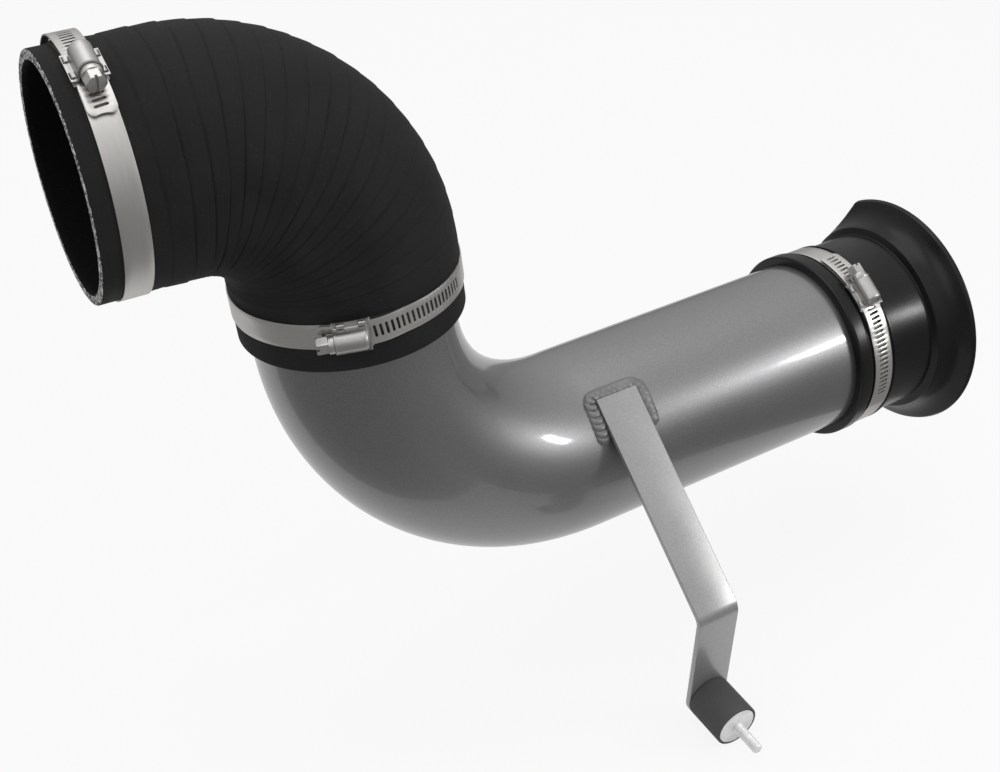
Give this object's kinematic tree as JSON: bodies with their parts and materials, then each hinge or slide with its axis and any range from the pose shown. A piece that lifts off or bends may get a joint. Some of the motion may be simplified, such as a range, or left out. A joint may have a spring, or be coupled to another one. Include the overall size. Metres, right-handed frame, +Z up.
{
  "type": "cold air intake pipe",
  "caption": "Bent metal intake pipe with a wrapped rubber elbow, a flared rubber adapter, worm-drive hose clamps and a welded bracket with a rubber isolator stud.",
  "frame": {"origin": "on the tube's axis, where the adapter's bore opens into its flare", "axes": "+X runs along the tube's long leg and out through the flare; +Z is up, the way the tube turns to meet the elbow; +Y points away from the bracket's side"},
  "size_m": [0.4886, 0.2242, 0.4168],
  "materials": {
    "hose_rubber": "matt, cloth-wrapped silicone rubber",
    "tube_paint": "gunmetal metallic powder coat on aluminium",
    "adapter_rubber": "smooth satin moulded rubber",
    "isolator_rubber": "satin moulded rubber",
    "clamp_steel": "satin stainless steel strip",
    "zinc_steel": "bright zinc-plated steel"
  },
  "bodies": {
    "root": {"elbow_hose": "hose_rubber", "intake_tube": "tube_paint", "mount_bracket": "tube_paint", "bracket_weld": "tube_paint", "flared_adapter": "adapter_rubber", "isolator_rubber": "isolator_rubber", "isolator_inner_stud": "zinc_steel", "isolator_outer_stud": "zinc_steel", "isolator_washer": "zinc_steel", "isolator_nut": "zinc_steel", "inlet_clamp_band": "clamp_steel", "inlet_clamp_liner": "clamp_steel", "inlet_clamp_saddle": "clamp_steel", "inlet_clamp_housing": "clamp_steel", "inlet_clamp_screw": "zinc_steel", "joint_clamp_band": "clamp_steel", "joint_clamp_liner": "clamp_steel", "joint_clamp_saddle": "clamp_steel", "joint_clamp_housing": "clamp_steel", "joint_clamp_screw": "zinc_steel", "adapter_clamp_band": "clamp_steel", "adapter_clamp_liner": "clamp_steel", "adapter_clamp_saddle": "clamp_steel", "adapter_clamp_housing": "clamp_steel", "adapter_clamp_screw": "zinc_steel"}
  },
  "joints": []
}
